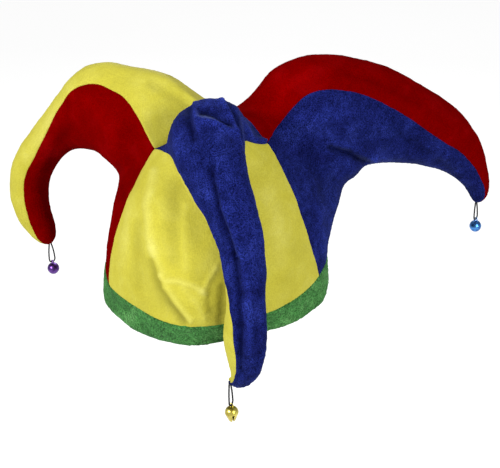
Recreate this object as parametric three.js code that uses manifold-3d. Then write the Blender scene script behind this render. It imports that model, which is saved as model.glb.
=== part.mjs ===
// A three-horned jester hat of plush cloth with a round bell on each horn, in millimetres, +Z up.
// The front horn points towards -Y. The origin is the centre of the head opening, level with the
// lower edge of the band.
import * as THREE from "three";
import { mergeVertices } from "three/addons/utils/BufferGeometryUtils.js";
import Module from "manifold-3d";

const wasm = await Module();
wasm.setup();

// Driving sizes
const OPENING_WIDTH = 186; // over the outside of the crown at the band, ear to ear
const OPENING_LENGTH = 200; // the same, front to back
const BAND_HEIGHT = 25;
const BAND_WALL = 4; // the band is cloth folded double
const BAND_PROUD = 0.6; // how far the band stands out past the crown
const CORNER_HEIGHT = 139; // where four panels meet, above the band's lower edge
const PEAK_HEIGHT = 156; // where the three strips meet
const CROWN_LEAN = 4; // how far the crown's top stands towards +X
const HORN_REACH = 273; // of the longest horn, from the hat's axis
const HORN_WIDTH = 90;
const CLOTH = 2.4; // plush, pile included
const SEAM_GAP = 0.4;
const TIP_HOLE = 3.8; // diameter of the hole that a bell's cord comes out of
const BELL_DIAMETER = 11;
const BELL_WALL = 0.5;
const BELL_SLOT = 1.1;
const BELL_HOLE = 2.4; // the round end of the slot
const SLOT_TOP = -0.1 * BELL_DIAMETER; // from the bell's middle
const LUG_DIAMETER = 4.3; // of the bell's ring, outside
const LUG_WIRE = 0.9;
const LUG_RISE = BELL_DIAMETER / 2 + LUG_DIAMETER / 2 - LUG_WIRE; // of the ring's middle
const PEA_DIAMETER = 3; // of the ball that rattles in the bell
const PEA_CLEARANCE = 0.3;
const CORD_DIAMETER = 1.4;
const CORD_CLEARANCE = 0.3;
const LOOP_WIDTH = 5.7; // between the middles of a bell loop's two strands

// How the band departs from a plain oval, by azimuth: top and low are shares of the oval's radius
// at the band's two edges, and lift raises the lower edge by a share of the band's height. The
// front leans in and its middle bulges over it.
const RIM = table(["azimuth", "top", "low", "lift"], [
  [90, 1.0, 1.0, 0],
  [150, 1.0, 1.01, 0],
  [185, 1.0, 1.035, 0],
  [205, 1.0, 1.01, 0],
  [222, 0.985, 0.975, 0],
  [240, 1.01, 0.972, 0.04],
  [262, 1.06, 0.985, 0.1],
  [285, 1.04, 0.92, 0.12],
  [305, 1.0, 0.925, 0.1],
  [320, 0.98, 0.96, 0.06],
  [335, 0.97, 0.995, 0],
  [360, 0.985, 1.0, 0],
  [390, 1.0, 1.0, 0],
  [450, 1.0, 1.0, 0],
]);

// The three seams that run up the crown: their azimuths, anticlockwise from +X, at the band and
// at the corner, and up, the corner's height as a share of CORNER_HEIGHT. From there each seam goes
// on between two strips to the peak and dips by a share of PEAK_HEIGHT, or rises if dip is negative.
const SEAMS = {
  frontRight: { low: 340, high: 334.5, up: 1.015, dip: -0.085 },
  back: { low: 90, high: 90, up: 1.0, dip: 0.02 },
  frontLeft: { low: 205.5, high: 205.5, up: 0.985, dip: 0.02 },
};

// How the crown narrows from the band to the corners: up is a share of that height, and out is a
// share of the radius at the band.
const CROWN_PROFILE = table(["up", "out"], [
  [0.0, 1.0],
  [0.2, 0.965],
  [0.45, 0.88],
  [0.7, 0.765],
  [0.87, 0.65],
  [1.0, 0.535],
]);

// A sector of the hat is one horn with its third of the crown, in sections from the band to the
// tip. A section's ridge and underside are given by out, a share of HORN_REACH, and up, a share of
// PEAK_HEIGHT. wrap is half the angle, in degrees, that the crown's cloth turns through.
// On the horn, side is a share of HORN_REACH, turn twists the section, in degrees, and half is its
// half width as a share of HORN_WIDTH. cw and ccw are the angles from the ridge to the strip's two
// edges, and shoulder is how far the strip's round section is drawn into a soft ridge. tip is where
// the bell's cord comes out. drop is how far below it the bell's ring hangs, in millimetres, and
// loopTurn the azimuth from one strand of the loop to the other. slotTurn is how far the bell's
// slot is turned from the front, and bell names its outline.
const CROWN = ["underOut", "underUp", "wrap"];
const HORN = ["ridgeOut", "ridgeUp", "underOut", "underUp", "side", "turn", "half", "cw", "ccw", "shoulder"];

const SECTORS = [
  {
    name: "front",
    heading: 270,
    seams: ["frontLeft", "frontRight"],
    crown: [
      [0.387, 0.16, 62],
      [0.388, 0.24, 62],
      [0.374, 0.36, 63],
      [0.352, 0.5, 66],
      [0.326, 0.62, 71],
      [0.289, 0.73, 79],
      [0.243, 0.83, 86],
    ],
    horn: [
      [0.07, 1.115, 0.243, 0.852, 0.012, 4, 0.335, 105, 96, 0.1],
      [0.14, 1.2, 0.257, 0.846, 0.018, 12, 0.325, 110, 104, 0],
      [0.22, 1.215, 0.282, 0.827, 0.026, 12, 0.31, 103, 104, -0.1],
      [0.3, 1.165, 0.312, 0.782, 0.04, 6, 0.285, 96, 98, 0],
      [0.377, 1.05, 0.338, 0.718, 0.066, 0, 0.25, 92, 92, 0],
      [0.43, 0.885, 0.362, 0.61, 0.1, 0, 0.2, 92, 92, 0],
      [0.455, 0.68, 0.38, 0.46, 0.126, -10, 0.185, 92, 92, 0],
      [0.485, 0.45, 0.382, 0.3, 0.125, -35, 0.165, 90, 92, 0],
      [0.51, 0.24, 0.376, 0.14, 0.118, -60, 0.15, 90, 95, 0],
      [0.487, 0.015, 0.382, -0.02, 0.118, -52, 0.14, 90, 92, 0],
      [0.46, -0.09, 0.388, -0.08, 0.106, -38, 0.122, 90, 90, 0],
      [0.44, -0.135, 0.395, -0.115, 0.092, -35, 0.085, 90, 90, 0],
    ],
    tip: { out: 0.415, up: -0.137, side: 0.063, drop: 20.5, loopTurn: 65, slotTurn: 20, bell: "tapered" },
  },
  {
    name: "right",
    heading: 30,
    seams: ["frontRight", "back"],
    crown: [
      [0.348, 0.16, 58],
      [0.362, 0.22, 60],
      [0.382, 0.29, 66],
      [0.41, 0.355, 74],
      [0.44, 0.4, 84],
    ],
    horn: [
      [0.138, 1.01, 0.462, 0.432, 0, 0, 0.42, 44, 50, 0.4],
      [0.205, 1.14, 0.475, 0.458, 0, 0, 0.38, 47, 45, 0.2],
      [0.285, 1.18, 0.492, 0.48, 0, 0, 0.34, 49, 40, 0.1],
      [0.38, 1.185, 0.516, 0.49, 0, 0, 0.315, 57, 36, 0],
      [0.49, 1.13, 0.55, 0.487, 0, 0, 0.29, 66, 32, 0],
      [0.605, 1.037, 0.593, 0.475, 0, 0, 0.27, 75, 30, 0],
      [0.71, 0.915, 0.663, 0.443, 0, 0, 0.25, 85, 28, 0],
      [0.813, 0.775, 0.747, 0.39, 0, 0, 0.22, 93, 26, 0],
      [0.905, 0.608, 0.828, 0.308, 0, 0, 0.19, 98, 26, 0],
      [0.97, 0.4, 0.893, 0.21, 0, 0, 0.155, 100, 34, 0],
      [1.0, 0.21, 0.93, 0.128, 0, 0, 0.12, 96, 50, 0],
      [0.993, 0.09, 0.941, 0.077, 0, 0, 0.085, 90, 70, 0],
    ],
    tip: { out: 0.958, up: 0.055, side: 0, drop: 17, loopTurn: 55, slotTurn: 85, bell: "round" },
  },
  {
    name: "left",
    heading: 150,
    seams: ["back", "frontLeft"],
    crown: [
      [0.348, 0.16, 58],
      [0.325, 0.28, 60],
      [0.31, 0.4, 66],
      [0.306, 0.49, 76],
      [0.322, 0.56, 86],
    ],
    horn: [
      [0.11, 1.155, 0.35, 0.6, 0, 0, 0.42, 52, 57, 0.4],
      [0.216, 1.172, 0.39, 0.64, 0, 0, 0.34, 46, 48, 0.1],
      [0.33, 1.172, 0.438, 0.65, 0, 0, 0.28, 40, 43, 0],
      [0.436, 1.143, 0.495, 0.63, 0, 0, 0.24, 40, 50, 0],
      [0.516, 1.025, 0.535, 0.603, 0, 0, 0.21, 40, 70, 0],
      [0.597, 0.86, 0.575, 0.558, 0, 0, 0.2, 40, 90, 0],
      [0.696, 0.673, 0.62, 0.48, 0, 0, 0.195, 40, 102, 0],
      [0.775, 0.5, 0.66, 0.39, 0, 0, 0.19, 40, 108, 0],
      [0.825, 0.308, 0.687, 0.288, 0, 0, 0.18, 42, 112, 0],
      [0.825, 0.128, 0.689, 0.16, 0, 0, 0.165, 50, 110, 0],
      [0.775, 0.0, 0.674, 0.051, 0, 0, 0.13, 60, 100, 0],
      [0.73, -0.05, 0.67, -0.026, 0, 0, 0.09, 70, 90, 0],
    ],
    tip: { out: 0.692, up: -0.064, side: 0, drop: 18.5, loopTurn: 40, slotTurn: 85, bell: "round" },
  },
];

// Dents and ridges of the cloth, each along a line on one piece. along is 0 at the band or the
// peak and 1 at the tip, and across runs from -1 to 1 between the piece's edges. height and width
// are shares of HORN_WIDTH, and a negative height is a dent.
const FOLD = ["fromAlong", "fromAcross", "toAlong", "toAcross", "height", "width"];
const FOLDS = {
  panel_front: [
    [0.3, -0.5, 0.18, -0.5, 0.025, 0.13],
    [0.18, -0.5, 0.11, -0.33, 0.03, 0.09],
    [0.11, -0.33, 0.08, 0.0, 0.03, 0.08],
    [0.11, -0.33, 0.0, -0.12, 0.03, 0.08],
    [0.18, -0.65, 0.05, -0.4, -0.025, 0.1],
    [0.06, -0.1, 0.03, 0.05, -0.025, 0.09],
    [0.3, -0.2, 0.16, -0.15, -0.02, 0.13],
  ],
  panel_right: [
    [0.37, -0.6, 0.32, -0.15, -0.035, 0.07],
    [0.43, -0.5, 0.38, -0.15, 0.025, 0.08],
    [0.2, -0.5, 0.05, -0.4, 0.02, 0.12],
  ],
  panel_left: [
    [0.35, 0.5, 0.3, 0.1, -0.02, 0.09],
  ],
  strip_front: [
    [0.15, -0.2, 0.29, -0.22, -0.045, 0.08],
    [0.23, -0.1, 0.27, 0.55, -0.04, 0.07],
    [0.3, -0.15, 0.33, 0.6, 0.03, 0.09],
    [0.16, 0.45, 0.36, 0.75, 0.03, 0.08],
    [0.055, 0.8, 0.11, 0.6, 0.06, 0.12],
    [0.16, 0.85, 0.24, 0.9, -0.03, 0.08],
    [0.385, -0.3, 0.64, -0.4, -0.035, 0.07],
    [0.64, -0.4, 0.85, -0.15, -0.03, 0.06],
  ],
  strip_right: [
    [0.08, -0.3, 0.2, -0.5, -0.02, 0.1],
  ],
  strip_left: [
    [0.08, 0.3, 0.2, 0.5, -0.02, 0.1],
  ],
};

// How a bell loop's strand runs from the tip to the bend at its bottom: width is 0 where the two
// strands touch and 1 at LOOP_WIDTH, and down is a share of the way.
const STRAND = [
  [0, 0],
  [0.4, 0.25],
  [0.8, 0.55],
];

// A bell's outline from its bottom to its top, as shares of its radius: out from its axis, and up
// from its middle. The front bell tapers to a narrow flat bottom.
const OUTLINE = ["out", "up"];
const BELL_SHAPES = {
  round: [
    [0, -1],
    [0.38, -0.92],
    [0.69, -0.71],
    [0.9, -0.38],
    [1, 0],
    [0.92, 0.38],
    [0.71, 0.71],
    [0.38, 0.92],
    [0, 1],
  ],
  tapered: [
    [0, -1.43],
    [0.42, -1.41],
    [0.5, -1.3],
    [0.83, -0.5],
    [1, 0],
    [0.92, 0.42],
    [0.7, 0.74],
    [0.36, 0.94],
    [0, 1],
  ],
};

// How finely the cloth is divided
const CROWN_ROWS = { front: 10, right: 7, left: 7 };
const HORN_ROWS = 18;
const PANEL_COLUMNS = { front: 20, right: 14, left: 14 };
const STRIP_COLUMNS = { front: 10, right: 8, left: 8 };
const BAND_STEPS = 42;
const NORMAL_ROUNDS = 2; // how often the cloth's normals are averaged with their neighbours'
const PEAK_ROWS = 3; // rows of a strip that settle from the valleys into the horn's round section
const CORD_STEPS = 27;
const CORD_SIDES = 8;
const BELL_SIDES = 12;
const RING_SIDES = [5, 10];
const HOLE_SIDES = 8;
const PEA_SIDES = [8, 5];

const radians = THREE.MathUtils.degToRad;
const mix = THREE.MathUtils.lerp;
const DOWN = new THREE.Vector3(0, 0, -1);

// A table becomes a function that reads all its columns, smoothly, by the value of the first.
function table(columns, rows) {
  const reader = new THREE.CubicInterpolant(
    rows.map((row) => row[0]),
    rows.flatMap((row) => row.slice(1)),
    columns.length - 1,
    new Float64Array(columns.length - 1),
  );
  return (at) => {
    const values = reader.evaluate(at);
    return Object.fromEntries(columns.slice(1).map((name, i) => [name, values[i]]));
  };
}

function named(columns, row) {
  return Object.fromEntries(columns.map((name, i) => [name, row[i]]));
}

function polar(azimuth, radius, up) {
  const a = radians(azimuth);
  return new THREE.Vector3(radius * Math.cos(a), radius * Math.sin(a), up);
}

// A point of the band's outside: share is 0 at its lower edge and 1 at its top.
function rimPoint(azimuth, share, proud = 0) {
  const turned = ((azimuth - 90 + 720) % 360) + 90;
  const x = Math.cos(radians(azimuth)) / (OPENING_WIDTH / 2);
  const y = Math.sin(radians(azimuth)) / (OPENING_LENGTH / 2);
  const oval = 1 / Math.hypot(x, y);
  const { top, low, lift } = RIM(turned);
  return polar(
    azimuth,
    oval * mix(low, top, share) + proud,
    BAND_HEIGHT * (share + lift * (1 - share)),
  );
}

// A point of a seam up the crown: share is 0 at the band and 1 at the corner.
function seamPoint(seam, share) {
  const { low, high, up } = SEAMS[seam];
  const point = rimPoint(mix(low, high, share), 1).multiplyScalar(CROWN_PROFILE(share).out);
  point.x += CROWN_LEAN * share ** 2;
  point.z = mix(BAND_HEIGHT, CORNER_HEIGHT * up, share);
  return point;
}

// A point of the seam between two strips: share is 0 at the corner and 1 at the peak.
function valleyPoint(seam, share) {
  const peak = new THREE.Vector3(CROWN_LEAN, 0, PEAK_HEIGHT);
  const point = seamPoint(seam, 1).lerp(peak, share);
  point.z -= SEAMS[seam].dip * PEAK_HEIGHT * Math.sin(Math.PI * share);
  return point;
}

// The axes of a sector: out along its heading, and sideways to the left of that
function axesOf(sector) {
  return { out: polar(sector.heading, 1, 0), sideways: polar(sector.heading + 90, 1, 0) };
}

function tipPoint(sector) {
  const { out, sideways } = axesOf(sector);
  return out
    .multiplyScalar(sector.tip.out * HORN_REACH)
    .addScaledVector(sideways, sector.tip.side * HORN_REACH)
    .setZ(sector.tip.up * PEAK_HEIGHT);
}

// The horn's sections, each with its middle and the two half axes of its oval
function sectionsOf(sector) {
  const { out, sideways } = axesOf(sector);
  const place = (along, up) =>
    out.clone().multiplyScalar(along * HORN_REACH).setZ(up * PEAK_HEIGHT);
  const sections = sector.horn.map((row) => {
    const r = named(HORN, row);
    const ridge = place(r.ridgeOut, r.ridgeUp);
    const under = place(r.underOut, r.underUp);
    return {
      ...r,
      middle: ridge.clone().lerp(under, 0.5).addScaledVector(sideways, r.side * HORN_REACH),
      rise: ridge.clone().sub(under).multiplyScalar(0.5),
      across: sideways.clone().multiplyScalar(r.half * HORN_WIDTH),
    };
  });
  sections.forEach((s, i) => {
    const before = sections[Math.max(i - 1, 0)].middle;
    const after = sections[i + 1]?.middle ?? tipPoint(sector);
    const along = after.clone().sub(before).normalize();
    s.rise.applyAxisAngle(along, radians(s.turn));
    s.across.applyAxisAngle(along, radians(s.turn));
  });
  const last = sections.at(-1);
  const axis = tipPoint(sector).sub(last.middle).normalize().add(DOWN).normalize();
  const rise = last.rise.clone().projectOnPlane(axis).setLength(TIP_HOLE / 2);
  const across = axis.clone().cross(rise);
  if (across.dot(last.across) < 0) across.negate();
  sections.push({ ...last, shoulder: 0, middle: tipPoint(sector), rise, across, axis });
  return sections;
}

// The guide lines that a sector's cloth is stretched between, each a function of the row number:
// rows below 0 are on the crown, 0 is at the corners, and the last is the horn's tip.
function guidesOf(sector) {
  const [cwSeam, ccwSeam] = sector.seams;
  const { out } = axesOf(sector);
  const crown = sector.crown.map((row) => named(CROWN, row));
  const sections = sectionsOf(sector);
  const round = (s, degrees) =>
    s.middle
      .clone()
      .addScaledVector(s.rise, Math.cos(radians(degrees)))
      .addScaledVector(s.across, Math.sin(radians(degrees)));
  const line = (first, points) => {
    const read = table(["row", "x", "y", "z"], points.map((p, i) => [i + first, ...p.toArray()]));
    return (row) => {
      const { x, y, z } = read(row);
      return new THREE.Vector3(x, y, z);
    };
  };
  const curve = (first, values) => {
    const read = table(["row", "value"], values.map((v, i) => [i + first, v]));
    return (row) => read(row).value;
  };
  const first = 1 - crown.length;
  const halfStrip = sections.map((s) => (s.cw + s.ccw) / 2);
  return {
    rows: sections.length,
    crownRows: crown.length - 1,
    cw: line(0, [seamPoint(cwSeam, 1), ...sections.map((s) => round(s, -s.cw))]),
    ccw: line(0, [seamPoint(ccwSeam, 1), ...sections.map((s) => round(s, s.ccw))]),
    crest: line(0, [
      valleyPoint(cwSeam, 1),
      ...sections.map((s) => round(s, (s.ccw - s.cw) / 2)),
    ]),
    belly: line(first, [
      ...crown.map((c) =>
        out.clone().multiplyScalar(c.underOut * HORN_REACH).setZ(c.underUp * PEAK_HEIGHT),
      ),
      ...sections.map((s) => round(s, 180 + (s.ccw - s.cw) / 2)),
    ]),
    wrap: curve(first, [...crown.map((c) => c.wrap), ...halfStrip.map((h) => 180 - h)]),
    stripWrap: curve(0, [halfStrip[0], ...halfStrip]),
    shoulder: curve(0, [1, ...sections.map((s) => s.shoulder)]),
  };
}

// A point of the arc from one edge to the other through the middle point: along runs from -1 to 1,
// and wrap is half the angle that the arc turns through.
function arcPoint(from, to, through, wrap, along, shoulder = 0) {
  const angle = radians(wrap);
  const turn = angle * along;
  const middle = from.clone().add(to).multiplyScalar(0.5);
  const half = to.clone().sub(from).multiplyScalar(0.5);
  const rise = through.clone().sub(middle);
  const arc = (Math.cos(turn) - Math.cos(angle)) / (1 - Math.cos(angle));
  const bell = (1 + Math.cos(Math.PI * along)) / 2;
  return middle
    .addScaledVector(half, mix(Math.sin(turn) / Math.sin(angle), along, shoulder))
    .addScaledVector(rise, mix(arc, bell, shoulder));
}

// The cloth below a sector's strip, from the band (row 0) to the horn's tip
function panelGrid(sector, guides) {
  const [cwSeam, ccwSeam] = sector.seams;
  const from = SEAMS[cwSeam].low;
  const spread = (SEAMS[ccwSeam].low - from + 720) % 360;
  const crownRows = CROWN_ROWS[sector.name];
  const columns = PANEL_COLUMNS[sector.name];
  const arcRow = (i) => {
    const share = Math.min(1, i / crownRows);
    const row =
      i <= crownRows
        ? (share - 1) * guides.crownRows
        : ((i - crownRows) / HORN_ROWS) * guides.rows;
    const cw = row < 0 ? seamPoint(cwSeam, share) : guides.cw(row);
    const ccw = row < 0 ? seamPoint(ccwSeam, share) : guides.ccw(row);
    return Array.from({ length: columns + 1 }, (_, j) =>
      arcPoint(cw, ccw, guides.belly(row), guides.wrap(row), (2 * j) / columns - 1),
    );
  };
  const shifts = arcRow(0).map((point, j) =>
    rimPoint(from + (spread * j) / columns, 1).sub(point),
  );
  return Array.from({ length: crownRows + HORN_ROWS + 1 }, (_, i) => {
    const fade = Math.max(0, 1 - i / crownRows) ** 2;
    return arcRow(i).map((point, j) => point.addScaledVector(shifts[j], fade));
  });
}

// The strip along the top of a horn, from the peak and the two valleys (row 0) to the tip
function stripGrid(sector, guides) {
  const [cwSeam, ccwSeam] = sector.seams;
  const columns = STRIP_COLUMNS[sector.name];
  const arcRow = (i) => {
    const row = (i / HORN_ROWS) * guides.rows;
    return Array.from({ length: columns + 1 }, (_, j) =>
      arcPoint(
        guides.cw(row),
        guides.ccw(row),
        guides.crest(row),
        guides.stripWrap(row),
        (2 * j) / columns - 1,
        guides.shoulder(row),
      ),
    );
  };
  const shifts = arcRow(0).map((point, j) => {
    const across = (2 * j) / columns - 1;
    return valleyPoint(across < 0 ? cwSeam : ccwSeam, 1 - Math.abs(across)).sub(point);
  });
  return Array.from({ length: HORN_ROWS + 1 }, (_, i) => {
    const fade = Math.max(0, 1 - i / PEAK_ROWS) ** 2;
    return arcRow(i).map((point, j) => point.addScaledVector(shifts[j], fade));
  });
}

// Presses the folds into a grid. The piece's edges stay where they are.
function foldGrid(rows, folds, normalAt) {
  const m = rows.length - 1;
  const n = rows[0].length - 1;
  const pointAt = (along, across) => rows[Math.round(along * m)][Math.round(((across + 1) / 2) * n)];
  const lines = folds.map((row) => {
    const f = named(FOLD, row);
    const line = new THREE.Line3(
      pointAt(f.fromAlong, f.fromAcross).clone(),
      pointAt(f.toAlong, f.toAcross).clone(),
    );
    return { line, height: f.height * HORN_WIDTH, width: f.width * HORN_WIDTH };
  });
  return rows.map((row, i) =>
    row.map((point, j) => {
      const fade = Math.min(1, i / 2, (m - i) / 2, j / 2, (n - j) / 2);
      const push = lines.reduce((sum, { line, height, width }) => {
        const nearest = line.closestPointToPoint(point, true, new THREE.Vector3());
        return sum + height * Math.exp(-((nearest.distanceTo(point) / width) ** 2));
      }, 0);
      return point.clone().addScaledVector(normalAt(point), push * fade);
    }),
  );
}

const keyOf = (p) => p.toArray().map((v) => Math.round(v * 100)).join();

// Outward normals of several grids sewn together: where they share a point, they share its normal.
// Each normal is averaged with its neighbours' as many times as rounds says.
function sharedNormals(pieces, rounds) {
  const sums = new Map();
  const neighbours = new Map();
  const meet = (a, b) => {
    if (!neighbours.has(a)) neighbours.set(a, new Set());
    neighbours.get(a).add(b);
  };
  for (const { rows, flipped } of pieces)
    for (let i = 1; i < rows.length; i++)
      for (let j = 1; j < rows[0].length; j++) {
        const corners = [rows[i - 1][j - 1], rows[i - 1][j], rows[i][j], rows[i][j - 1]];
        const keys = corners.map(keyOf);
        const normal = corners[2]
          .clone()
          .sub(corners[0])
          .cross(corners[3].clone().sub(corners[1]))
          .multiplyScalar(flipped ? -1 : 1);
        keys.forEach((key, k) => {
          if (!sums.has(key)) sums.set(key, new THREE.Vector3());
          sums.get(key).add(normal);
          meet(key, keys[(k + 1) % 4]);
          meet(key, keys[(k + 3) % 4]);
        });
      }
  let normals = new Map([...sums].map(([key, sum]) => [key, sum.normalize()]));
  for (let round = 0; round < rounds; round++)
    normals = new Map(
      [...normals].map(([key, normal]) => {
        const sum = normal.clone();
        for (const other of neighbours.get(key)) sum.addScaledVector(normals.get(other), 0.5);
        return [key, sum.normalize()];
      }),
    );
  return (p) => normals.get(keyOf(p)).clone();
}

// A wall of cloth inside a grid, held back from its four edges by half a seam's gap. On a panel
// the first row lies on the band's top and stays level with it, and at the tip the wall ends in a
// hole along endAxis.
function clothGeometry({ rows, flipped, levelStart, endAxis }, normalAt) {
  const m = rows.length;
  const n = rows[0].length;
  const hand = flipped ? -1 : 1;
  const normals = rows.map((row, i) =>
    row.map((point) => {
      if (i === m - 1) return endAxis.clone();
      const normal = normalAt(point);
      return levelStart && i === 0 ? normal.setZ(0).normalize() : normal;
    }),
  );
  const outer = rows.map((row, i) =>
    row.map((point, j) => {
      const moved = point.clone();
      const alongRow = rows[i][Math.min(j + 1, n - 1)].clone().sub(rows[i][Math.max(j - 1, 0)]);
      const alongColumn = rows[Math.min(i + 1, m - 1)][j].clone().sub(rows[Math.max(i - 1, 0)][j]);
      const inset = (tangent, sign) =>
        moved.addScaledVector(
          normals[i][j].clone().cross(tangent).normalize(),
          (sign * hand * SEAM_GAP) / 2,
        );
      if (i === 0) inset(alongRow, 1);
      if (i === m - 1) inset(alongRow, -1);
      if (j === 0) inset(alongColumn, -1);
      if (j === n - 1) inset(alongColumn, 1);
      return moved;
    }),
  );
  const inner = outer.map((row, i) =>
    row.map((point, j) => point.clone().addScaledVector(normals[i][j], -CLOTH)),
  );
  const points = [...outer.flat(), ...inner.flat()];
  const index = [];
  const quad = (a, b, c, d) =>
    flipped ? index.push(a, c, b, a, d, c) : index.push(a, b, c, a, c, d);
  const at = (i, j, layer) => layer * m * n + i * n + j;
  for (let i = 1; i < m; i++)
    for (let j = 1; j < n; j++) {
      quad(at(i - 1, j - 1, 0), at(i - 1, j, 0), at(i, j, 0), at(i, j - 1, 0));
      quad(at(i - 1, j - 1, 1), at(i, j - 1, 1), at(i, j, 1), at(i - 1, j, 1));
    }
  for (let j = 1; j < n; j++) {
    quad(at(0, j - 1, 1), at(0, j, 1), at(0, j, 0), at(0, j - 1, 0));
    quad(at(m - 1, j - 1, 0), at(m - 1, j, 0), at(m - 1, j, 1), at(m - 1, j - 1, 1));
  }
  for (let i = 1; i < m; i++) {
    quad(at(i - 1, 0, 0), at(i, 0, 0), at(i, 0, 1), at(i - 1, 0, 1));
    quad(at(i - 1, n - 1, 1), at(i, n - 1, 1), at(i, n - 1, 0), at(i - 1, n - 1, 0));
  }
  return meshGeometry(points, index);
}

function meshGeometry(points, index) {
  const geometry = new THREE.BufferGeometry().setFromPoints(points);
  geometry.setIndex(index);
  geometry.computeVertexNormals();
  return geometry;
}

// The band: a double fold of cloth round the opening, with a round lower edge
function bandGeometry() {
  const round = BAND_WALL / 2;
  const top = BAND_HEIGHT - SEAM_GAP;
  const bend = [0, 60, 120, 180].map(radians);
  const profile = [
    [0, top],
    [0, BAND_HEIGHT / 2],
    ...bend.map((angle) => [round - round * Math.cos(angle), round - round * Math.sin(angle)]),
    [BAND_WALL, BAND_HEIGHT / 2],
    [BAND_WALL, top],
  ];
  const points = [];
  const index = [];
  const n = profile.length;
  for (let i = 0; i < BAND_STEPS; i++) {
    const azimuth = (360 * i) / BAND_STEPS;
    const inward = polar(azimuth, -1, 0);
    for (const [depth, up] of profile)
      points.push(rimPoint(azimuth, up / BAND_HEIGHT, BAND_PROUD).addScaledVector(inward, depth));
    const next = (i + 1) % BAND_STEPS;
    for (let j = 0; j < n; j++) {
      const k = (j + 1) % n;
      index.push(i * n + j, i * n + k, next * n + k, i * n + j, next * n + k, next * n + j);
    }
  }
  return meshGeometry(points, index);
}

// Where a horn's loop of cord and its bell hang: across is the way from one strand to the other.
function hangingOf(sector) {
  const tip = tipPoint(sector);
  const across = polar(sector.tip.loopTurn, 1, 0);
  const wire = tip.clone().setZ(tip.z - sector.tip.drop);
  const bell = wire.clone();
  bell.z -= LUG_DIAMETER / 2 - LUG_WIRE / 2 + LUG_RISE;
  return { tip, across, bell, drop: sector.tip.drop };
}

// The loop: out of the tip, down one side, round under the bell's ring, and back up
function loopGeometry(sector) {
  const { tip, across, drop } = hangingOf(sector);
  const inward = sectionsOf(sector).at(-1).axis.clone().negate();
  const bend = LOOP_WIDTH / 2;
  const straight = drop + LUG_WIRE / 2 + CORD_CLEARANCE + CORD_DIAMETER / 2 - bend;
  const close = (CORD_DIAMETER + CORD_CLEARANCE) / 2;
  const at = (side, down) => tip.clone().addScaledVector(across, side).setZ(tip.z - down);
  const strand = (sign) => [
    at(sign * close, 0).addScaledVector(inward, CLOTH / 2),
    ...STRAND.map(([width, down]) => at(sign * mix(close, bend, width), down * straight)),
  ];
  const half = [0, 45, 90, 135, 180].map((angle) =>
    at(bend * Math.cos(radians(angle)), straight + bend * Math.sin(radians(angle))),
  );
  const route = new THREE.CatmullRomCurve3(
    [...strand(1), ...half, ...strand(-1).reverse()],
    false,
    "centripetal",
  );
  const section = new THREE.Shape().absarc(0, 0, CORD_DIAMETER / 2, 0, 2 * Math.PI);
  return new THREE.ExtrudeGeometry(section, {
    extrudePath: route,
    steps: CORD_STEPS,
    curveSegments: CORD_SIDES / 2,
  });
}

function toManifold(geometry) {
  const bare = geometry.clone();
  bare.deleteAttribute("uv");
  bare.deleteAttribute("normal");
  const merged = mergeVertices(bare, 1e-4);
  const mesh = new wasm.Mesh({
    numProp: 3,
    vertProperties: new Float32Array(merged.attributes.position.array),
    triVerts: new Uint32Array(merged.index.array),
  });
  mesh.merge();
  return new wasm.Manifold(mesh);
}

function toGeometry(manifold) {
  const mesh = manifold.getMesh();
  const geometry = new THREE.BufferGeometry();
  geometry.setAttribute("position", new THREE.BufferAttribute(mesh.vertProperties, 3));
  geometry.setIndex(new THREE.BufferAttribute(mesh.triVerts, 1));
  geometry.computeVertexNormals();
  return geometry;
}

// A bell's outline turned about Z
function bellBody(shape, diameter) {
  const profile = shape
    .map((row) => named(OUTLINE, row))
    .map(({ out, up }) => new THREE.Vector2(out, up).multiplyScalar(diameter / 2));
  return new THREE.LatheGeometry(profile, BELL_SIDES).rotateX(Math.PI / 2);
}

// A hollow bell with a ring on top and a slot below that ends in a round hole on either side
function bellGeometry({ bell, loopTurn, slotTurn }) {
  const shape = BELL_SHAPES[bell];
  const through = 2 * BELL_DIAMETER;
  const radius = BELL_HOLE / 2;
  const turn = radians(slotTurn - loopTurn);
  const ring = new THREE.TorusGeometry((LUG_DIAMETER - LUG_WIRE) / 2, LUG_WIRE / 2, ...RING_SIDES)
    .rotateY(Math.PI / 2)
    .translate(0, 0, LUG_RISE);
  const slot = new THREE.BoxGeometry(BELL_SLOT, through, BELL_DIAMETER)
    .translate(0, 0, SLOT_TOP - BELL_DIAMETER / 2)
    .rotateZ(turn);
  const hole = new THREE.CylinderGeometry(radius, radius, through, HOLE_SIDES)
    .translate(0, 0, SLOT_TOP)
    .rotateZ(turn);
  return toGeometry(
    toManifold(bellBody(shape, BELL_DIAMETER))
      .add(toManifold(ring))
      .subtract(toManifold(bellBody(shape, BELL_DIAMETER - 2 * BELL_WALL)))
      .subtract(toManifold(slot))
      .subtract(toManifold(hole)),
  );
}

function standardMaterial(color, roughness, metalness) {
  return new THREE.MeshStandardMaterial({ color, roughness, metalness });
}

const RED = standardMaterial("#8e0006", 0.9, 0);
const YELLOW = standardMaterial("#dccb35", 0.9, 0);
const BLUE = standardMaterial("#1f2685", 0.9, 0);
const GREEN = standardMaterial("#2f8a3c", 0.9, 0);
const BLACK = standardMaterial("#141414", 0.8, 0);
const COLOURS = {
  front: { panel: YELLOW, strip: BLUE, bell: standardMaterial("#b9a540", 0.3, 1) },
  right: { panel: BLUE, strip: RED, bell: standardMaterial("#3f6aa8", 0.3, 1) },
  left: { panel: RED, strip: YELLOW, bell: standardMaterial("#553078", 0.3, 1) },
};

const hat = new THREE.Group();
hat.name = "hat";

function addPiece(name, geometry, material) {
  const mesh = new THREE.Mesh(geometry, material);
  mesh.name = name;
  hat.add(mesh);
  return mesh;
}

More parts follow.
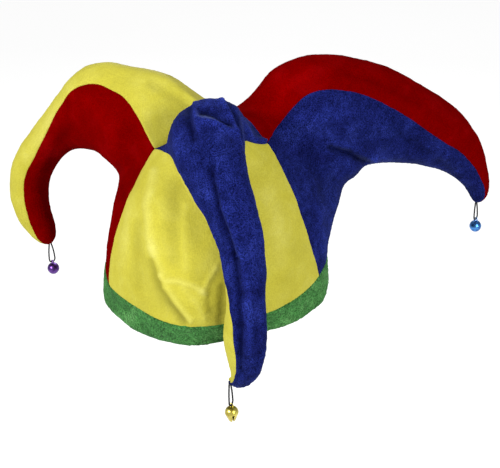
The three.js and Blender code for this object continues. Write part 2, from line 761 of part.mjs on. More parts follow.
let pieces = SECTORS.flatMap((sector) => {
  const guides = guidesOf(sector);
  const endAxis = sectionsOf(sector).at(-1).axis;
  const { panel, strip } = COLOURS[sector.name];
  return [
    {
      name: `panel_${sector.name}`,
      rows: panelGrid(sector, guides),
      flipped: false,
      levelStart: true,
      endAxis,
      material: panel,
    },
    {
      name: `strip_${sector.name}`,
      rows: stripGrid(sector, guides),
      flipped: true,
      levelStart: false,
      endAxis,
      material: strip,
    },
  ];
});
const smoothNormalAt = sharedNormals(pieces, 0);
pieces = pieces.map((piece) => ({
  ...piece,
  rows: foldGrid(piece.rows, FOLDS[piece.name], smoothNormalAt),
}));
const normalAt = sharedNormals(pieces, NORMAL_ROUNDS);
for (const piece of pieces) addPiece(piece.name, clothGeometry(piece, normalAt), piece.material);
addPiece("band", bandGeometry(), GREEN);
for (const sector of SECTORS) {
  const { bell } = hangingOf(sector);
  const metal = COLOURS[sector.name].bell;
  addPiece(`cord_${sector.name}`, loopGeometry(sector), BLACK);
  const shell = addPiece(`bell_${sector.name}`, bellGeometry(sector.tip), metal);
  shell.position.copy(bell);
  shell.rotation.z = radians(sector.tip.loopTurn);
  const peaGeometry = new THREE.SphereGeometry(PEA_DIAMETER / 2, ...PEA_SIDES);
  const pea = addPiece(`pea_${sector.name}`, peaGeometry, metal);
  pea.position.copy(bell);
  const { up } = named(OUTLINE, BELL_SHAPES[sector.tip.bell][0]);
  const floor = up * (BELL_DIAMETER / 2 - BELL_WALL);
  pea.position.z += floor + PEA_CLEARANCE + PEA_DIAMETER / 2;
}

export default hat;
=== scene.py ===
"""A three-horned jester hat of plush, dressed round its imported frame.

Lengths are in metres unless a name says mm or pixels, and angles are in degrees.
"""
import math

import bmesh
import bpy
import numpy as np
from mathutils import Matrix, Vector, noise


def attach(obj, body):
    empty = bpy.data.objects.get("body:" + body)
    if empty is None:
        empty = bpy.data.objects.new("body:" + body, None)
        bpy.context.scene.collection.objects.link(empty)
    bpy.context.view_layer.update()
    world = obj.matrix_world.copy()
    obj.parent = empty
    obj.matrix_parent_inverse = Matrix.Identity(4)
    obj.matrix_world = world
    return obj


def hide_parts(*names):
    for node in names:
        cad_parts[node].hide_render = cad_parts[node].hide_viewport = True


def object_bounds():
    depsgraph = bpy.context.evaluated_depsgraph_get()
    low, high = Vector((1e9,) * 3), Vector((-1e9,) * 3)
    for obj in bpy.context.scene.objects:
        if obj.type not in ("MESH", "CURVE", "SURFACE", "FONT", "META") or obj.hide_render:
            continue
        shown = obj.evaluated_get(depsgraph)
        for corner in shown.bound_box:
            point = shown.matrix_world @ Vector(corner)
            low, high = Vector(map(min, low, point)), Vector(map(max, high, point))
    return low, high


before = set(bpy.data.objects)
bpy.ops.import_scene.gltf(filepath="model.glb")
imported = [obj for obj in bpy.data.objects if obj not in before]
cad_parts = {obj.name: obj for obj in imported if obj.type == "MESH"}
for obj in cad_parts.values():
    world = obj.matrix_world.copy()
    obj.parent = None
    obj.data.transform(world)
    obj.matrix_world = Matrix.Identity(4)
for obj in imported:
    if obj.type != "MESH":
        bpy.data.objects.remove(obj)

cad_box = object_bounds()

MM = 0.001

# The photograph's camera
IMAGE_SIZE = (500, 468)
CAMERA_AZIMUTH = 5.0
CAMERA_ELEVATION = 28.5
CAMERA_ROLL = 3.0
CAMERA_DISTANCE = 1.15
CAMERA_TARGET = Vector((0.029, 0.0025, 0.047))
FOCAL_PIXELS = 1385.0
SENSOR_WIDTH_MM = 36.0
CLIP_START = 0.05

# The bells and their loops of cord, as the solids have them
CORD_DIAMETER = 1.4 * MM
CORD_CLEARANCE = 0.3 * MM
LOOP_WIDTH = 5.7 * MM
LUG_DIAMETER = 4.3 * MM
LUG_WIRE = 0.9 * MM
BELL_DIAMETER = 11 * MM
BELL_WALL = 0.5 * MM
BELL_SLOT = 1.1 * MM
BELL_HOLE = 2.4 * MM
SLOT_TOP = -0.1 * BELL_DIAMETER
LUG_RISE = BELL_DIAMETER / 2 + LUG_DIAMETER / 2 - LUG_WIRE
PEA_DIAMETER = 3 * MM
PEA_CLEARANCE = 0.3 * MM
CORD_INSIDE = 1.2 * MM  # how far a strand reaches into the horn's tip
STRAND = [(0, 0), (0.4, 0.25), (0.8, 0.55)]  # a strand's share of the way out, and of the way down

# Each horn's tip: where the cord leaves it, the bell's drop below it, the turns of the loop and of
# the bell's slot, and the bell's shape and metal
TIPS = {
    "front": {
        "at": Vector((17.2, -113.3, -21.37)) * MM,
        "drop": 20.5 * MM,
        "turn": 65,
        "slot_turn": 20,
        "bell": "tapered",
        "metal": "brass_bell",
    },
    "right": {
        "at": Vector((226.5, 130.77, 8.58)) * MM,
        "drop": 17.0 * MM,
        "turn": 55,
        "slot_turn": 85,
        "bell": "round",
        "metal": "blue_bell",
    },
    "left": {
        "at": Vector((-163.61, 94.46, -9.98)) * MM,
        "drop": 18.5 * MM,
        "turn": 40,
        "slot_turn": 85,
        "bell": "round",
        "metal": "purple_bell",
    },
}

# A bell's outline from its bottom to its top, as shares of its radius: out, and up from its middle
BELL_SHAPES = {
    "round": [
        (0, -1),
        (0.38, -0.92),
        (0.69, -0.71),
        (0.9, -0.38),
        (1, 0),
        (0.92, 0.38),
        (0.71, 0.71),
        (0.38, 0.92),
        (0, 1),
    ],
    "tapered": [
        (0, -1.43),
        (0.42, -1.41),
        (0.5, -1.3),
        (0.83, -0.5),
        (1, 0),
        (0.92, 0.42),
        (0.7, 0.74),
        (0.36, 0.94),
        (0, 1),
    ],
}

# The cord's twist
ROPE_STRANDS = 3
ROPE_GROOVE = 0.1  # of the radius
ROPE_LAY = 3.2 * MM  # length of one turn of the strands

# How fine the meshes are
SPAN_STEPS = 20  # on a curve, from one of its points to the next
BEND_STEPS = 8
ROPE_STEPS = 160
ROPE_SIDES = 12
BELL_STEPS = 40
BELL_SIDES = 48
RING_STEPS = 40
RING_SIDES = 16
PEA_STEPS = 16
PEA_SIDES = 24
HOLE_SIDES = 32
CLOTH_LEVELS = 3  # of subdivision

# The cloth: each piece's name, its node and its material
CLOTHS = [
    ("plush_front_panel", "panel_front", "yellow_plush"),
    ("plush_front_strip", "strip_front", "blue_plush"),
    ("plush_right_panel", "panel_right", "blue_plush"),
    ("plush_right_strip", "strip_right", "red_plush"),
    ("plush_left_panel", "panel_left", "red_plush"),
    ("plush_left_strip", "strip_left", "yellow_plush"),
    ("plush_band", "band", "green_plush"),
]
WELD = 0.001 * MM  # corners of the solid that are nearer than this are one
QUAD_BEND = 65  # the most that two triangles of one four-sided face are bent
QUAD_SKEW = 150  # the most that such a face is off a rectangle
SHARP = 50  # an edge of the cloth's wall turns by more than this
RIM_CREASE = 0.45
PUFF = 0.4 * MM  # closes the seams' gaps
DRIFT = [(1.3 * MM, 42 * MM), (0.7 * MM, 17 * MM)]  # heights and wavelengths of the slow uneven drift
DRIFT_SEED = 3  # noise_vector takes the clock's without it
TUFT_WAVE = 2.6 * MM
TUFTS = {
    "red_plush": 0.5 * MM,
    "yellow_plush": 0.5 * MM,
    "blue_plush": 0.7 * MM,
    "green_plush": 0.9 * MM,
}

# A fold fades out as the cloth turns away from the camera, by the cosine of the angle between them
FOLD_HIDDEN = 0.05
FOLD_FADE = 0.3

# Painted fold light, an attribute from how high the cloth stands at a point: 0 in a dent, which gets painted
# shade, 0.5 where it is plain, 1 on the top of a fold, which gets a painted highlight
PAINTED_FOLD_LIGHT = "painted_fold_light"
PAINTED_FOLD_LIGHT_FULL = 2.6 * MM  # a fold of this height changes the pile's colour fully, to the full painted shade or painted highlight
PAINTED_FOLD_LIGHT_DRIFT = 0.25  # share of the cloth's uneven drift in the painted shade and highlight
DENT_SHADE = 0.4  # what a full dent leaves of the colour

# Ridges and dents that the photograph shows, each along a line of its pixels: the points, the
# height in mm (a dent is negative) and the width in pixels.
FOLDS = {
    "panel_front": [
        ([(154, 172), (147, 205), (151, 246), (161, 274)], 1.7, 4.5),
        ([(161, 276), (164, 281), (178, 281), (194, 287), (205, 294)], 2.0, 3.0),
        ([(165, 287), (178, 304), (191, 320)], 1.9, 3.2),
        ([(153, 262), (160, 288), (172, 306), (184, 321)], -1.8, 5.0),
        ([(183, 288), (196, 303), (205, 318)], 0.7, 3.0),
        ([(203, 290), (208, 279), (215, 268)], 1.1, 3.0),
        ([(206, 296), (211, 312)], -0.9, 4.0),
        ([(176, 186), (171, 225), (176, 262)], -0.8, 10.0),
        ([(190, 214), (196, 250), (196, 276)], -0.5, 9.0),
        ([(186, 206), (183, 240), (186, 268)], 0.7, 5.0),
        ([(128, 215), (124, 262)], 0.7, 7.0),
        ([(137, 226), (137, 285)], -0.6, 7.0),
        ([(270, 190), (282, 262)], 0.8, 9.0),
        ([(290, 250), (286, 300)], -0.4, 11.0),
        ([(222, 288), (222, 330)], -1.0, 4.0),
    ],
    "strip_front": [
        ([(212, 172), (219, 206), (232, 250), (240, 290), (241, 336), (240, 372)], -2.4, 3.0),
        ([(224, 206), (240, 250), (249, 290), (249, 352)], 1.7, 4.0),
        ([(196, 200), (214, 240), (228, 280)], 0.9, 6.0),
        ([(234, 330), (233, 368)], 0.8, 3.0),
        ([(195, 99), (196, 113), (199, 130)], 2.8, 3.0),
        ([(188, 102), (188, 118), (192, 140)], -2.0, 3.4),
        ([(200, 122), (216, 124), (234, 133)], 2.8, 3.0),
        ([(201, 112), (214, 115), (229, 123)], -3.0, 3.4),
        ([(202, 99), (218, 102)], 1.2, 4.0),
        ([(222, 101), (232, 122), (239, 144)], 2.8, 2.8),
        ([(228.5, 104), (237, 122), (243, 142)], -2.6, 2.6),
        ([(234, 105), (242, 120), (248, 134)], 2.2, 2.8),
        ([(182, 112), (176, 132), (180, 158)], 1.2, 5.0),
        ([(243, 112), (253, 123), (263, 132)], -3.2, 4.2),
        ([(243, 137), (255, 140), (266, 141)], 2.4, 3.0),
        ([(248, 108), (262, 118), (269, 132)], 1.4, 3.2),
        ([(205, 138), (208, 168)], -0.8, 7.0),
        ([(160, 124), (157, 140), (158, 150)], -1.5, 3.0),
        ([(222, 250), (232, 256), (240, 260)], -1.4, 3.0),
    ],
    "panel_right": [
        ([(329, 147), (348, 153), (367, 163)], -3.2, 2.6),
        ([(335, 141), (354, 148), (374, 158)], 1.8, 3.0),
        ([(322, 150), (340, 160), (352, 170)], 1.2, 4.0),
        ([(306, 150), (320, 178), (326, 200)], -1.2, 6.0),
        ([(300, 118), (330, 112), (360, 116)], 1.0, 7.0),
        ([(392, 128), (420, 146), (446, 166)], -1.2, 5.0),
        ([(318, 210), (322, 250)], 1.2, 6.0),
    ],
    "panel_left": [
        ([(84, 100), (104, 120), (118, 146)], 0.8, 6.0),
        ([(70, 128), (52, 158), (42, 190)], -0.7, 5.0),
        ([(120, 168), (122, 196)], -0.7, 5.0),
    ],
    "strip_left": [
        ([(94, 74), (74, 90), (50, 122), (28, 154)], 0.7, 6.0),
        ([(150, 84), (178, 100), (190, 112)], -0.8, 5.0),
    ],
    "strip_right": [
        ([(272, 112), (284, 90), (310, 74)], 0.8, 6.0),
        ([(340, 72), (384, 86), (420, 104)], -0.6, 5.0),
    ],
}

# The plushes: colours of the pile where it lies deep, plain and crushed, the painted highlight that tops of
# full folds multiply them by, how much the hairs vary, the sheen, the hairs' fineness and the height of
# their bumps
PLUSHES = {
    "red_plush": {
        "deep": (0.085, 0.0, 0.0),
        "plain": (0.1, 0.0, 0.0),
        "crushed": (0.118, 0.0003, 0.0006),
        "painted_ridge_highlight": (1.4, 1.4, 1.4),
        "grain": 0.14,
        "sheen": 0.01,
        "sheen_rough": 0.4,
        "sheen_tint": (1.0, 0.2, 0.2),
        "pile": 900.0,
        "rise": 0.5 * MM,
    },
    "yellow_plush": {
        "deep": (0.3, 0.27, 0.027),
        "plain": (0.315, 0.287, 0.033),
        "crushed": (0.335, 0.308, 0.045),
        "painted_ridge_highlight": (1.22, 1.25, 2.3),
        "grain": 0.07,
        "sheen": 0.1,
        "sheen_rough": 0.4,
        "sheen_tint": (1.0, 0.97, 0.7),
        "pile": 900.0,
        "rise": 0.5 * MM,
    },
    "blue_plush": {
        "deep": (0.0035, 0.005, 0.042),
        "plain": (0.0048, 0.0075, 0.06),
        "crushed": (0.0085, 0.0135, 0.095),
        "painted_ridge_highlight": (1.6, 1.7, 1.7),
        "grain": 0.75,
        "sheen": 0.1,
        "sheen_rough": 0.35,
        "sheen_tint": (0.35, 0.45, 1.0),
        "pile": 1200.0,
        "rise": 0.5 * MM,
    },
    "green_plush": {
        "deep": (0.02, 0.072, 0.018),
        "plain": (0.028, 0.105, 0.025),
        "crushed": (0.055, 0.155, 0.045),
        "painted_ridge_highlight": (1.4, 1.4, 1.4),
        "grain": 0.55,
        "sheen": 0.12,
        "sheen_rough": 0.4,
        "sheen_tint": (0.6, 1.0, 0.6),
        "pile": 750.0,
        "rise": 1.2 * MM,
    },
}

# The bells' metals: the colour of their stains and of their bright parts
METALS = {
    "brass_bell": {"dark": (0.34, 0.27, 0.04), "bright": (0.62, 0.54, 0.13)},
    "blue_bell": {"dark": (0.02, 0.08, 0.28), "bright": (0.08, 0.26, 0.6)},
    "purple_bell": {"dark": (0.04, 0.015, 0.1), "bright": (0.13, 0.055, 0.26)},
}

# The studio: a pale floor far below the hat, lit evenly, and three soft lights
FLOOR_DROP = 0.9
FLOOR_SIZE = 60.0
FLOOR_THICKNESS = 0.01
FLOOR_TONES = (0.33, 0.36)
FLOOR_GLOW = 0.78
WORLD_STRENGTH = 0.4
LIGHTS = {
    "key": {"at": (-1.35, -1.2, 1.2), "aim": (0, 0, 0.08), "size": 0.45, "power": 74.0},
    "fill": {"at": (1.5, -1.5, 0.9), "aim": (0, 0, 0.06), "size": 1.0, "power": 60.0},
    "back": {"at": (0.3, 2.0, 1.0), "aim": (0, 0, 0.06), "size": 1.0, "power": 24.0},
}


# Camera

def camera_axes():
    """Right, up and back of the photograph's camera."""
    a, e, r = (math.radians(v) for v in (CAMERA_AZIMUTH, CAMERA_ELEVATION, CAMERA_ROLL))
    back = Vector((math.sin(a) * math.cos(e), -math.cos(a) * math.cos(e), math.sin(e)))
    right = Vector((math.cos(a), math.sin(a), 0))
    up = back.cross(right)
    return (
        math.cos(r) * right - math.sin(r) * up,
        math.cos(r) * up + math.sin(r) * right,
        back,
    )


def make_camera():
    right, up, back = camera_axes()
    data = bpy.data.cameras.new("camera")
    data.sensor_width = SENSOR_WIDTH_MM
    data.sensor_fit = "HORIZONTAL"
    data.lens = FOCAL_PIXELS / IMAGE_SIZE[0] * SENSOR_WIDTH_MM
    data.clip_start = CLIP_START
    camera = bpy.data.objects.new("camera", data)
    turn = Matrix((right, up, back)).transposed().to_4x4()
    camera.matrix_world = Matrix.Translation(CAMERA_TARGET + CAMERA_DISTANCE * back) @ turn
    bpy.context.collection.objects.link(camera)
    bpy.context.scene.camera = camera


def to_pixels(points):
    """Where points of the row frame are seen in the photograph."""
    right, up, back = (np.array(v) for v in camera_axes())
    away = points - np.array(CAMERA_TARGET + CAMERA_DISTANCE * Vector(back))
    depth = -(away @ back)
    return np.stack(
        [
            IMAGE_SIZE[0] / 2 + FOCAL_PIXELS * (away @ right) / depth,
            IMAGE_SIZE[1] / 2 - FOCAL_PIXELS * (away @ up) / depth,
        ],
        1,
    )


def new_object(name, mesh, smooth=True):
    piece = bpy.data.objects.new(name, mesh)
    bpy.context.collection.objects.link(piece)
    if smooth:
        mesh.polygons.foreach_set("use_smooth", [True] * len(mesh.polygons))
    return piece


def dress(piece, node, slot):
    """Lets the piece stand for a node of the solids, in the slot's material."""
    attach(piece, "root")
    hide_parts(node)
    piece.data.materials.clear()
    piece.data.materials.append(MATERIALS[slot])


# Cords and bells

def across_of(tip):
    """The direction in which a tip's loop lies open."""
    turn = math.radians(tip["turn"])
    return Vector((math.cos(turn), math.sin(turn), 0))


def loop_route(tip):
    """The points that a bell's loop of cord follows."""
    across = across_of(tip)
    bend = LOOP_WIDTH / 2
    straight = tip["drop"] + LUG_WIRE / 2 + CORD_CLEARANCE + CORD_DIAMETER / 2 - bend
    close = (CORD_DIAMETER + CORD_CLEARANCE) / 2

    def at(side, down):
        return tip["at"] + across * side - Vector((0, 0, down))

    def strand(sign):
        points = [at(sign * close, -CORD_INSIDE)]
        for width, down in STRAND:
            points.append(at(sign * (close + (bend - close) * width), down * straight))
        return points

    angles = [math.pi * i / BEND_STEPS for i in range(BEND_STEPS + 1)]
    round_end = [at(bend * math.cos(angle), straight + bend * math.sin(angle)) for angle in angles]
    return strand(1) + round_end + strand(-1)[::-1]


def between(a, b, start, end, t):
    """The point at t on a straight way that is at a for start and at b for end."""
    return a * ((end - t) / (end - start)) + b * ((t - start) / (end - start))


def smooth_path(points, steps):
    """Even points on a centripetal Catmull-Rom curve through points, and its length."""
    padded = [points[0] * 2 - points[1], *points, points[-1] * 2 - points[-2]]
    fine = []
    for i in range(1, len(padded) - 2):
        a, b, c, d = padded[i - 1 : i + 3]
        t0 = 0.0
        t1 = t0 + math.sqrt((b - a).length)
        t2 = t1 + math.sqrt((c - b).length)
        t3 = t2 + math.sqrt((d - c).length)
        for k in range(SPAN_STEPS):
            t = t1 + (t2 - t1) * k / SPAN_STEPS
            middle = between(b, c, t1, t2, t)
            before = between(between(a, b, t0, t1, t), middle, t0, t2, t)
            after = between(middle, between(c, d, t2, t3, t), t1, t3, t)
            fine.append(between(before, after, t1, t2, t))
    fine.append(points[-1])
    line = np.array([list(v) for v in fine])
    run = np.concatenate([[0], np.cumsum(np.linalg.norm(np.diff(line, axis=0), axis=1))])
    even = np.linspace(0, run[-1], steps + 1)
    return [Vector([np.interp(s, run, line[:, k]) for k in range(3)]) for s in even], run[-1]


def finished_mesh(bm, name):
    mesh = bpy.data.meshes.new(name)
    bm.to_mesh(mesh)
    bm.free()
    return mesh


def join_rings(bm, a, b):
    """A row of four-sided faces between two rings of vertices."""
    for j in range(len(a)):
        k = (j + 1) % len(a)
        bm.faces.new((a[j], a[k], b[k], b[j]))


def rope_mesh(name, path, length, diameter, side):
    """A twisted cord along a path that stays in the plane whose normal is side."""
    bm = bmesh.new()
    rings = []
    for i, point in enumerate(path):
        ahead = (path[min(i + 1, len(path) - 1)] - path[max(i - 1, 0)]).normalized()
        third = ahead.cross(side)
        turn = 2 * math.pi * length * i / (len(path) - 1) / ROPE_LAY
        ring = []
        for j in range(ROPE_SIDES):
            angle = 2 * math.pi * j / ROPE_SIDES
            groove = ROPE_GROOVE * (0.5 - 0.5 * math.cos(ROPE_STRANDS * angle + turn))
            radius = diameter / 2 * (1 - groove)
            ring.append(bm.verts.new(point + (side * math.cos(angle) + third * math.sin(angle)) * radius))
        rings.append(ring)
    for a, b in zip(rings, rings[1:]):
        join_rings(bm, a, b)
    bm.faces.new(rings[0][::-1])
    bm.faces.new(rings[-1])
    return finished_mesh(bm, name)


def turned_mesh(name, outline, sides):
    """An outline of distances from the axis and heights, from bottom to top, turned about Z."""
    bm = bmesh.new()
    rings = [
        [
            bm.verts.new((
                out * math.cos(2 * math.pi * j / sides),
                out * math.sin(2 * math.pi * j / sides),
                up,
            ))
            for j in range(sides)
        ]
        for out, up in outline[1:-1]
    ]
    bottom = bm.verts.new((0, 0, outline[0][1]))
    top = bm.verts.new((0, 0, outline[-1][1]))
    for j in range(sides):
        k = (j + 1) % sides
        bm.faces.new((bottom, rings[0][k], rings[0][j]))
        bm.faces.new((top, rings[-1][j], rings[-1][k]))
    for a, b in zip(rings, rings[1:]):
        join_rings(bm, a, b)
    return finished_mesh(bm, name)


def bell_outline(shape, diameter):
    """A bell's outline from its bottom to its top: distances from the axis, and heights."""
    corners = [Vector((out, 0, up)) * (diameter / 2) for out, up in BELL_SHAPES[shape]]
    smooth, _ = smooth_path(corners, BELL_STEPS)
    return [(max(point.x, 0), point.z) for point in smooth]


def ball_outline(diameter):
    angles = [math.pi * (i / PEA_STEPS - 0.5) for i in range(PEA_STEPS + 1)]
    return [(diameter / 2 * math.cos(angle), diameter / 2 * math.sin(angle)) for angle in angles]


def ring_mesh(name, diameter, wire):
    """A ring whose axis is X."""
    bm = bmesh.new()
    rings = []
    for i in range(RING_STEPS):
        a = 2 * math.pi * i / RING_STEPS
        ring = []
        for j in range(RING_SIDES):
            b = 2 * math.pi * j / RING_SIDES
            radius = (diameter - wire) / 2 + wire / 2 * math.cos(b)
            ring.append(bm.verts.new((wire / 2 * math.sin(b), radius * math.cos(a), radius * math.sin(a))))
        rings.append(ring)
    for a, b in zip(rings, rings[1:] + rings[:1]):
        join_rings(bm, b, a)
    return finished_mesh(bm, name)


def box_mesh(name, size, middle):
    bm = bmesh.new()
    bmesh.ops.create_cube(bm, size=1, matrix=Matrix.Translation(middle) @ Matrix.Diagonal((*size, 1)))
    return finished_mesh(bm, name)


def rod_mesh(name, diameter, length, middle):
    """A rod along Y."""
    bm = bmesh.new()
    turn = Matrix.Translation(middle) @ Matrix.Rotation(math.pi / 2, 4, "X")
    bmesh.ops.create_cone(
        bm,
        cap_ends=True,
        segments=HOLE_SIDES,
        radius1=diameter / 2,
        radius2=diameter / 2,
        depth=length,
        matrix=turn,
    )
    return finished_mesh(bm, name)


def apply_modifiers(piece):
    """Gives the piece the mesh that its modifiers make, and takes them off."""
    bpy.context.view_layer.update()
    depsgraph = bpy.context.evaluated_depsgraph_get()
    mesh = bpy.data.meshes.new_from_object(piece.evaluated_get(depsgraph))
    piece.modifiers.clear()
    old = piece.data
    piece.data = mesh
    bpy.data.meshes.remove(old)


def combine(piece, mesh, operation):
    """Joins a mesh to the piece, or takes it away from it."""
    tool = new_object(mesh.name, mesh)
    modifier = piece.modifiers.new(operation, "BOOLEAN")
    modifier.operation = operation
    modifier.solver = "EXACT"
    modifier.object = tool
    apply_modifiers(piece)
    bpy.data.objects.remove(tool)


def bell_mesh(name, tip):
    """A hollow bell with a ring on top and a slot below that ends in a round hole."""
    turn = Matrix.Rotation(math.radians(tip["slot_turn"] - tip["turn"]), 4, "Z")
    shell = new_object(name, turned_mesh(name, bell_outline(tip["bell"], BELL_DIAMETER), BELL_SIDES))
    ring = ring_mesh("ring", LUG_DIAMETER, LUG_WIRE)
    ring.transform(Matrix.Translation((0, 0, LUG_RISE)))
    hollow = turned_mesh("hollow", bell_outline(tip["bell"], BELL_DIAMETER - 2 * BELL_WALL), BELL_SIDES)
    through = 2 * BELL_DIAMETER
    slot = box_mesh("slot", (BELL_SLOT, through, BELL_DIAMETER), (0, 0, SLOT_TOP - BELL_DIAMETER / 2))
    hole = rod_mesh("hole", BELL_HOLE, through, (0, 0, SLOT_TOP))
    slot.transform(turn)
    hole.transform(turn)
    combine(shell, ring, "UNION")
    combine(shell, hollow, "DIFFERENCE")
    combine(shell, slot, "DIFFERENCE")
    combine(shell, hole, "DIFFERENCE")
    mesh = shell.data
    bpy.data.objects.remove(shell)
    return mesh


def make_bell(side, tip):
    """The loop, bell and pea at one horn's tip."""
    middle = tip["at"] - Vector((0, 0, tip["drop"] + LUG_DIAMETER / 2 - LUG_WIRE / 2 + LUG_RISE))
    mesh = bell_mesh("jingle_bell_" + side, tip)
    mesh.transform(Matrix.Translation(middle) @ Matrix.Rotation(math.radians(tip["turn"]), 4, "Z"))
    bell = new_object("jingle_bell_" + side, mesh)
    low = BELL_SHAPES[tip["bell"]][0][1] * (BELL_DIAMETER / 2 - BELL_WALL)
    ball = turned_mesh("pea", ball_outline(PEA_DIAMETER), PEA_SIDES)
    ball.transform(Matrix.Translation(middle + Vector((0, 0, low + PEA_CLEARANCE + PEA_DIAMETER / 2))))
    pea = new_object("rattle_pea_" + side, ball)
    path, length = smooth_path(loop_route(tip), ROPE_STEPS)
    plane = across_of(tip).cross(Vector((0, 0, 1)))
    rope = new_object("loop_" + side, rope_mesh("loop_" + side, path, length, CORD_DIAMETER, plane))
    dress(bell, "bell_" + side, tip["metal"])
    dress(pea, "pea_" + side, tip["metal"])
    dress(rope, "cord_" + side, "black_cord")


# Materials

def grey(value):
    return (value, value, value)


def node_material(name):
    material = bpy.data.materials.new(name)
    material.use_nodes = True
    tree = material.node_tree
    shader = tree.nodes["Principled BSDF"]
    where = tree.nodes.new("ShaderNodeTexCoord")
    return material, tree, shader, where.outputs["Object"]


def set_inputs(node, values):
    for socket, value in values.items():
        node.inputs[socket].default_value = value


def noise_node(tree, where, scale, detail=2.0, rough=0.5, twist=0.0):
    texture = tree.nodes.new("ShaderNodeTexNoise")
    set_inputs(texture, {"Scale": scale, "Detail": detail, "Roughness": rough, "Distortion": twist})
    tree.links.new(where, texture.inputs["Vector"])
    return texture.outputs["Fac"]


def ramp_node(tree, value, stops):
    """Colours by a value: rows of the value and its colour."""
    ramp = tree.nodes.new("ShaderNodeValToRGB")
    ramp.color_ramp.elements[0].position = stops[0][0]
    ramp.color_ramp.elements[0].color = (*stops[0][1], 1)
    ramp.color_ramp.elements[1].position = stops[-1][0]
    ramp.color_ramp.elements[1].color = (*stops[-1][1], 1)
    for at, colour in stops[1:-1]:
        ramp.color_ramp.elements.new(at).color = (*colour, 1)
    tree.links.new(value, ramp.inputs["Fac"])
    return ramp.outputs["Color"]


def multiply_node(tree, a, b):
    mixer = tree.nodes.new("ShaderNodeMix")
    mixer.data_type = "RGBA"
    mixer.blend_type = "MULTIPLY"
    mixer.inputs["Factor"].default_value = 1.0
    tree.links.new(a, mixer.inputs["A"])
    tree.links.new(b, mixer.inputs["B"])
    return mixer.outputs["Result"]


def bump_node(tree, shader, layers):
    """Bumps on top of each other: rows of height value, strength and distance."""
    last = None
    for height, strength, distance in layers:
        bump = tree.nodes.new("ShaderNodeBump")
        set_inputs(bump, {"Strength": strength, "Distance": distance})
        tree.links.new(height, bump.inputs["Height"])
        if last:
            tree.links.new(last, bump.inputs["Normal"])
        last = bump.outputs["Normal"]
    tree.links.new(last, shader.inputs["Normal"])


def plush_material(name, deep, plain, crushed, painted_ridge_highlight, grain, sheen, sheen_rough, sheen_tint, pile, rise):
    """Short pile: paler where it is crushed, painted shade in dents and a painted highlight on the tops of
    folds, with a soft sheen.
    """
    material, tree, shader, where = node_material(name)
    patches = noise_node(tree, where, scale=38.0, detail=5.0, rough=0.62, twist=0.6)
    streaks = noise_node(tree, where, scale=130.0, detail=4.0, rough=0.7, twist=0.3)
    hairs = noise_node(tree, where, scale=pile, detail=3.0, rough=0.6)
    painted_fold_light = tree.nodes.new("ShaderNodeAttribute")
    painted_fold_light.attribute_name = PAINTED_FOLD_LIGHT
    body = ramp_node(tree, patches, [(0.34, deep), (0.52, plain), (0.68, crushed)])
    # Painted shade in dents and a painted highlight on the tops of folds, by the painted fold light
    # attribute
    folds = ramp_node(tree, painted_fold_light.outputs["Fac"], [(0.0, grey(DENT_SHADE)), (0.5, grey(1.0)), (1.0, painted_ridge_highlight)])
    fine = ramp_node(tree, streaks, [(0.36, grey(1 - grain / 3)), (0.64, grey(1 + grain / 3))])
    hair = ramp_node(tree, hairs, [(0.38, grey(1 - grain)), (0.62, grey(1 + grain))])
    colour = body
    for layer in (folds, fine, hair):
        colour = multiply_node(tree, colour, layer)
    tree.links.new(colour, shader.inputs["Base Color"])
    set_inputs(shader, {
        "Roughness": 0.9,
        "Specular IOR Level": 0.0,
        "Sheen Weight": sheen,
        "Sheen Roughness": sheen_rough,
        "Sheen Tint": (*sheen_tint, 1),
    })
    bump_node(tree, shader, [(streaks, 0.2, 1.0 * MM), (hairs, 0.7, rise)])
    return material


def cord_material(name):
    """Dull black fibres."""
    material, tree, shader, where = node_material(name)
    fibre = noise_node(tree, where, scale=2500.0, detail=3.0)
    colour = ramp_node(tree, fibre, [(0.3, (0.002, 0.002, 0.002)), (0.75, (0.014, 0.014, 0.015))])
    tree.links.new(colour, shader.inputs["Base Color"])
    set_inputs(shader, {"Roughness": 0.75, "Specular IOR Level": 0.1})
    bump_node(tree, shader, [(fibre, 0.5, 0.1 * MM)])
    return material


def metal_material(name, dark, bright):
    """Thin bright metal with soft stains and fine scratches."""
    material, tree, shader, where = node_material(name)
    stains = noise_node(tree, where, scale=260.0, detail=4.0, rough=0.6)
    scratches = noise_node(tree, where, scale=1800.0, detail=2.0, rough=0.7, twist=2.0)
    colour = ramp_node(tree, stains, [(0.35, dark), (0.62, bright)])
    rough = ramp_node(tree, scratches, [(0.35, grey(0.26)), (0.75, grey(0.44))])
    tree.links.new(colour, shader.inputs["Base Color"])
    tree.links.new(rough, shader.inputs["Roughness"])
    shader.inputs["Metallic"].default_value = 1.0
    bump_node(tree, shader, [(scratches, 0.15, 0.05 * MM)])
    return material


def make_materials():
    """Every visible material but the floor's, by its slot's name."""
    materials = {name: plush_material(name, **look) for name, look in PLUSHES.items()}
    materials["black_cord"] = cord_material("black_cord")
    materials.update({name: metal_material(name, **look) for name, look in METALS.items()})
    return materials


# Cloth

def distance_to_line(pixels, points):
    """From each pixel to the nearest point of a line through points."""
    best = np.full(len(pixels), np.inf)
    for a, b in zip(points, points[1:]):
        a = np.array(a, float)
        way = np.array(b, float) - a
        share = np.clip(((pixels - a) @ way) / (way @ way), 0, 1)
        best = np.minimum(best, np.linalg.norm(pixels - a - share[:, None] * way, axis=1))
    return best


def folds_of(node, places, normals):
    """How far each vertex moves along its normal for the folds that the photograph shows."""
    back = np.array(camera_axes()[2])
    facing = np.clip((normals @ back - FOLD_HIDDEN) / FOLD_FADE, 0, 1)
    pixels = to_pixels(places)
    push = np.zeros(len(places))
    for points, height, width in FOLDS.get(node, []):
        push += height * MM * np.exp(-((distance_to_line(pixels, points) / width) ** 2))
    return push * facing


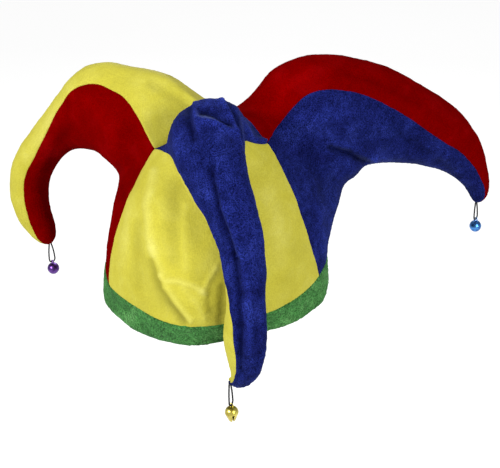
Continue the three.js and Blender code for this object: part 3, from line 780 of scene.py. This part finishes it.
def drift_of(places):
    """How far each vertex moves in a slow uneven drift, the same for neighbours, so that seams stay shut."""
    drift = np.zeros(places.shape)
    for height, wave in DRIFT:
        drift += height * np.array([noise.noise_vector(Vector(p) / wave) for p in places])
    return drift


def tufts_of(places, height):
    """How far the pile's tufts stand out."""
    return height * np.abs([noise.noise(Vector(p) / TUFT_WAVE) for p in places])


def crease_rims(bm):
    """Creases the edges of the cloth's wall, so that they round off only a little."""
    crease = bm.edges.layers.float.new("crease_edge")
    for edge in bm.edges:
        if edge.calc_face_angle(0) > math.radians(SHARP):
            edge[crease] = RIM_CREASE


def arrays_of(mesh):
    """The places and normals of a mesh's vertices."""
    count = len(mesh.vertices)
    places = np.empty(count * 3)
    normals = np.empty(count * 3)
    mesh.vertices.foreach_get("co", places)
    mesh.vertices.foreach_get("normal", normals)
    return places.reshape(-1, 3), normals.reshape(-1, 3)


def wall_mesh(name, node):
    """The node's own wall, in four-sided faces where its triangles allow them."""
    bm = bmesh.new()
    bm.from_mesh(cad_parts[node].data)
    bmesh.ops.remove_doubles(bm, verts=bm.verts, dist=WELD)
    bmesh.ops.join_triangles(
        bm,
        faces=bm.faces,
        angle_face_threshold=math.radians(QUAD_BEND),
        angle_shape_threshold=math.radians(QUAD_SKEW),
    )
    crease_rims(bm)
    mesh = finished_mesh(bm, name)
    if mesh.has_custom_normals:
        # They are the solid's, and would shade the folds away.
        mesh.attributes.remove(mesh.attributes["custom_normal"])
    return mesh


def make_cloth(name, node, slot):
    """A piece of plush made over the node's own wall."""
    piece = new_object(name, wall_mesh(name, node))
    piece.modifiers.new("subdivision", "SUBSURF").levels = CLOTH_LEVELS
    apply_modifiers(piece)
    mesh = piece.data
    places, normals = arrays_of(mesh)
    folds = folds_of(node, places, normals)
    drift = drift_of(places)
    push = PUFF + folds + tufts_of(places, TUFTS[slot])
    mesh.vertices.foreach_set("co", (places + drift + normals * push[:, None]).ravel())
    mesh.update()
    # Painted shade and painted highlight: how high each point stands in its folds and drift, kept on the
    # mesh for the plush's colour
    rise = folds + PAINTED_FOLD_LIGHT_DRIFT * (drift * normals).sum(1)
    painted_fold_light = np.clip(0.5 + 0.5 * rise / PAINTED_FOLD_LIGHT_FULL, 0, 1)
    mesh.attributes.new(PAINTED_FOLD_LIGHT, "FLOAT", "POINT").data.foreach_set("value", painted_fold_light.astype(np.float32))
    dress(piece, node, slot)


# Studio

def make_floor():
    height = cad_box[0][2] - FLOOR_DROP
    mesh = box_mesh("floor", (FLOOR_SIZE, FLOOR_SIZE, FLOOR_THICKNESS), (0, 0, height))
    floor = new_object("floor", mesh, smooth=False)
    material, tree, shader, where = node_material("floor")
    dark, pale = FLOOR_TONES
    tone = ramp_node(tree, noise_node(tree, where, scale=0.7), [(0.3, grey(dark)), (0.7, grey(pale))])
    tree.links.new(tone, shader.inputs["Base Color"])
    set_inputs(shader, {
        "Roughness": 0.95,
        "Specular IOR Level": 0.1,
        "Emission Color": (1, 1, 1, 1),
        "Emission Strength": FLOOR_GLOW,
    })
    mesh.materials.append(material)


def make_light(name, at, aim, size, power):
    data = bpy.data.lights.new(name, "AREA")
    data.shape = "DISK"
    data.size = size
    data.energy = power
    light = bpy.data.objects.new(name, data)
    light.location = at
    light.rotation_euler = (Vector(aim) - Vector(at)).to_track_quat("-Z", "Y").to_euler()
    bpy.context.collection.objects.link(light)


def make_studio():
    make_floor()
    world = bpy.data.worlds.new("studio")
    world.use_nodes = True
    background = world.node_tree.nodes["Background"]
    set_inputs(background, {"Color": (1, 1, 1, 1), "Strength": WORLD_STRENGTH})
    bpy.context.scene.world = world
    for name, light in LIGHTS.items():
        make_light(name, **light)
    settings = bpy.context.scene.view_settings
    settings.view_transform = "Standard"
    settings.look = "None"
    settings.exposure = 0.0


MATERIALS = make_materials()
make_camera()
for side, tip in TIPS.items():
    make_bell(side, tip)
noise.seed_set(DRIFT_SEED)
for name, node, slot in CLOTHS:
    make_cloth(name, node, slot)
make_studio()

bpy.context.view_layer.update()
